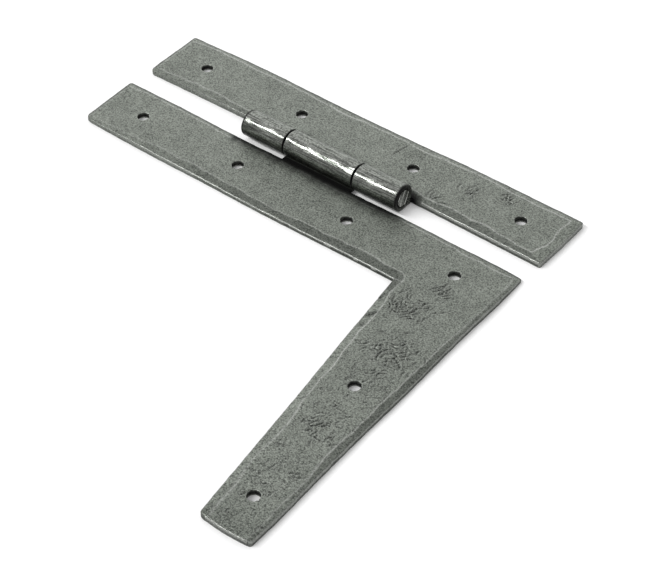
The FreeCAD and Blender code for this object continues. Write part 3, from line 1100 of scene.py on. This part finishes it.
def forged_steel(name, bump_height):
    """Hammered steel with a pewter patina: burnished high spots and painted highlights, dark hollows and
    painted shade, fine forge scale.
    """
    material, n = node_material(name)
    coords = n.add("ShaderNodeTexCoord").outputs["Object"]
    coords = n.add("ShaderNodeMapping", {"Vector": coords, "Scale": (1 / MM,) * 3}).outputs[0]
    drawn = n.add("ShaderNodeMapping", {"Vector": coords, "Scale": STREAK_STRETCH}).outputs[0]
    finish_and_light = n.add("ShaderNodeVertexColor", layer_name="finish_and_light").outputs
    barrel = finish_and_light["Alpha"]
    wear_and_highlight, grime_and_shade, polish = n.add("ShaderNodeSeparateColor", {"Color": finish_and_light["Color"]}).outputs
    down_leg = n.add("ShaderNodeSeparateXYZ", {"Vector": coords}).outputs["Y"]
    coarse = n.spread(down_leg, GRAIN_FROM_Y, GRAIN_TO_Y)

    grain = n.noise(coords, *GRAIN_NOISE)
    cloud = n.noise(coords, *CLOUD_NOISE)
    streak = n.noise(drawn, *STREAK_NOISE)
    pits = n.times(n.spread(n.noise(coords, *SPECK_NOISE), *SPECK_PITS), n.spread(coarse, *LEG_PITS))
    flecks = n.times(barrel, n.spread(polish, *POLISH_FLECKS))
    flecks = n.times(flecks, n.spread(n.noise(coords, *FLECK_NOISE), *FLECK_SPOTS))
    lines = n.spread(streak, *STREAK_LINES)

    tone = n.plus(n.spread(cloud, *CLOUD_TONE), n.spread(grain, *GRAIN_TONE))
    tone = n.plus(tone, n.times(coarse, LEG_TONE))
    # Painted shade that darkens the very foot of the leg
    tone = n.minus(tone, n.spread(down_leg, *FOOT_SHADE), clamp=True)
    colour = n.blend(tone, STEEL_DARK, STEEL_PLAIN)
    colour = n.blend(pits, colour, STEEL_DARK)
    colour = n.blend(n.times(barrel, BARREL_SHARE), colour, n.blend(lines, STEEL_DARK, STEEL_PLAIN))
    colour = n.blend(n.times(polish, POLISH_SHARE), colour, n.blend(lines, STEEL_DARK, STEEL_POLISHED))
    unworn = n.times(barrel, n.minus(1.0, lines))
    # Rubbed high spots and painted highlights turn towards the bright colour
    rub_and_highlight = n.times(wear_and_highlight, n.spread(grain, *GRAIN_RUB))
    rub_and_highlight = n.times(rub_and_highlight, n.spread(unworn, *UNWORN_RUB))
    colour = n.blend(n.times(rub_and_highlight, RUB_AND_HIGHLIGHT_SHARE), colour, STEEL_BRIGHT)
    colour = n.blend(flecks, colour, STEEL_DARK)
    # Dark patina and painted shade
    colour = n.blend(grime_and_shade, colour, STEEL_GRIME_AND_SHADE)

    rough = n.spread(cloud, *CLOUD_ROUGHNESS)
    rough = n.plus(rough, n.spread(n.noise(coords, *DRIFT_NOISE), *DRIFT_ROUGHNESS))
    rough = n.minus(rough, n.times(polish, n.spread(cloud, *POLISH_SMOOTHNESS)))
    rough = n.plus(rough, n.times(grime_and_shade, GRIME_AND_SHADE_ROUGHNESS))

    height = n.minus(grain, n.times(pits, PIT_BUMP))
    wrinkle = n.noise(coords, *WRINKLE_NOISE)
    height = n.plus(height, n.times(wrinkle, n.spread(coarse, *WRINKLE_BUMP)))
    height = n.times(height, n.spread(polish, *POLISH_BUMP))
    height = n.times(height, n.spread(wear_and_highlight, *WEAR_BUMP))
    height = n.plus(height, n.times(cloud, n.spread(barrel, *CLOUD_BUMP)))
    height = n.plus(height, n.times(n.times(streak, barrel), STREAK_BUMP))
    bump = n.add("ShaderNodeBump", {"Height": height, "Strength": 1.0, "Distance": bump_height * MM})
    shader = n.add("ShaderNodeBsdfPrincipled", {
        "Base Color": colour, "Metallic": n.spread(grime_and_shade, *GRIME_AND_SHADE_METALLIC), "Roughness": rough,
        "Specular IOR Level": SPECULAR, "Normal": bump.outputs[0],
    })
    n.add("ShaderNodeOutputMaterial", {"Surface": shader.outputs[0]})
    return material


def floor_white(name):
    """Pale table top. Seen or mirrored it is white, and it keeps the shadow of what lies on it."""
    material, n = node_material(name)
    path = n.add("ShaderNodeLightPath").outputs
    seen = n.math("MAXIMUM", path["Is Camera Ray"], path["Is Glossy Ray"])
    seen = n.math("MAXIMUM", seen, path["Is Transmission Ray"])
    paint = n.add("ShaderNodeBsdfDiffuse", {"Color": (FLOOR_WHITE, FLOOR_WHITE, FLOOR_WHITE, 1)})
    glow = n.add("ShaderNodeEmission", {"Color": (1, 1, 1, 1), "Strength": n.times(seen, FLOOR_LIFT)})
    both = n.add("ShaderNodeAddShader", {0: paint.outputs[0], 1: glow.outputs[0]})
    n.add("ShaderNodeOutputMaterial", {"Surface": both.outputs[0]})
    return material


def stage_floor():
    """Wide table top just under the hinge."""
    mesh = bpy.data.meshes.new("table_top")
    h = FLOOR_HALF
    mesh.from_pydata([(-h, -h, 0), (h, -h, 0), (h, h, 0), (-h, h, 0)], [], [(0, 1, 2, 3)])
    floor = placed("table_top", mesh)
    floor.location.z = -FLOOR_DROP
    floor.data.materials.append(floor_white("table_white"))


def studio_sky():
    """Room with a window at the far left and a pale wall across from it, dimmer between the two."""
    world = bpy.data.worlds.new("studio")
    bpy.context.scene.world = world
    world.use_nodes = True
    n = Nodes(world.node_tree)
    direction = n.add("ShaderNodeTexCoord").outputs["Generated"]
    towards = n.add("ShaderNodeVectorMath", {0: direction, 1: WINDOW_TOWARDS}, operation="DOT_PRODUCT")
    levels = n.add("ShaderNodeValToRGB", {0: n.spread(towards.outputs["Value"], -1.0, 1.0)})
    stops = levels.color_ramp.elements
    while len(stops) < len(SKY):
        stops.new(0.5)
    for stop, (place, level) in zip(stops, SKY):
        stop.position = (place + 1) / 2
        stop.color = (level, level, level, 1)
    light = n.add("ShaderNodeBackground", {"Color": levels.outputs[0], "Strength": SKY_STRENGTH})
    n.add("ShaderNodeOutputWorld", {"Surface": light.outputs[0]})


def key_light():
    """Long soft box to the left of the camera, its length along the pin."""
    lamp = bpy.data.lights.new("soft_box", "AREA")
    lamp.shape = "RECTANGLE"
    lamp.size, lamp.size_y = (2 * KEY_DISTANCE * math.tan(math.radians(spread) / 2) for spread in KEY_SPREAD)
    lamp.energy = KEY_LEVEL * math.pi * math.pi * KEY_DISTANCE ** 2
    box = placed("soft_box", lamp)
    towards = KEY_TOWARDS.normalized()
    along = (Vector((1, 0, 0)) - towards * towards.x).normalized()
    turn = Matrix((along, towards.cross(along), towards)).transposed()
    low, high = CAD_BOX
    box.matrix_world = Matrix.Translation((low + high) / 2 + towards * KEY_DISTANCE) @ turn.to_4x4()


def camera():
    """Camera above the near right of the hinge."""
    lens = bpy.data.cameras.new("camera")
    lens.lens = LENS
    lens.sensor_width = SENSOR_WIDTH
    lens.clip_start = CLIP_START
    eye = placed("camera", lens)
    turn = LOOK.to_track_quat("-Z", "Y").to_matrix() @ Matrix.Rotation(math.radians(ROLL), 3, "Z")
    eye.matrix_world = Matrix.Translation(EYE) @ turn.to_4x4()
    bpy.context.scene.camera = eye


def screw_holes(*names):
    """Centres of the pairs of screw holes that the record states."""
    centres = []
    for name in names:
        x, y = MOUNTS[name]["pos_m"][:2]
        half = MOUNTS[name]["dims"]["spacing_x_mm"] / 2
        centres.extend(np.array((x / MM + side * half, y / MM)) for side in (-1, 1))
    return centres


straight_holes = screw_holes("straight_leaf_outer_screws", "straight_leaf_inner_screws")
l_holes = screw_holes("l_leaf_outer_screws", "l_leaf_inner_screws")
l_holes += [np.array(centre) for centre in LEG_HOLES]

straight_plate, straight_sides = forged_plate(
    "forged_straight_leaf", STRAIGHT_CORNERS, STRAIGHT_RADII, STRAIGHT_BOWS, STRAIGHT_FACETS,
    straight_holes, STRAIGHT_SCUFFS, [STRAIGHT_SCRATCH], STRAIGHT_THIN, STRAIGHT_SEED,
)
straight_leaf = joined(
    straight_plate,
    rolled_knuckle("left_knuckle", -BARREL_END, -OUTER_START, 1, PIN_RADIUS, LEFT_PITS, (), None, LEFT_SEED),
    rolled_knuckle("right_knuckle", OUTER_START, BARREL_END, 1, PIN_RADIUS, RIGHT_PITS, (), None, RIGHT_SEED),
)
l_plate, l_sides = forged_plate(
    "forged_l_leaf", L_CORNERS, L_RADII, L_BOWS, L_FACETS, l_holes, L_SCUFFS, [], L_THIN, L_SEED,
)
l_leaf = joined(
    l_plate,
    rolled_knuckle(
        "middle_knuckle", -HALF_MIDDLE, HALF_MIDDLE, -1, RUNNING_BORE, MIDDLE_PITS, DEEP_PITS, MIDDLE_FLAT,
        MIDDLE_SEED,
    ),
)
pin = cropped_pin("cropped_pin", PIN_SEED)
paint_leaf(straight_leaf, straight_sides, straight_holes)
paint_leaf(l_leaf, l_sides, l_holes)
paint_pin(pin)

leaf_steel = forged_steel("leaf_steel", LEAF_BUMP)
pin_steel = forged_steel("pin_steel", PIN_BUMP)
for piece, body, node, slot, steel in (
    (straight_leaf, "fixed_side", "straight_leaf", "leaf_steel", leaf_steel),
    (l_leaf, "door_side", "l_leaf", "leaf_steel", leaf_steel),
    (pin, "fixed_side", "hinge_pin", "pin_steel", pin_steel),
):
    piece.data.materials.clear()
    piece.data.materials.append(steel)
    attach(piece, body)
    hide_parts(node)

bpy.context.scene.view_settings.view_transform = "Standard"
stage_floor()
studio_sky()
key_light()
camera()
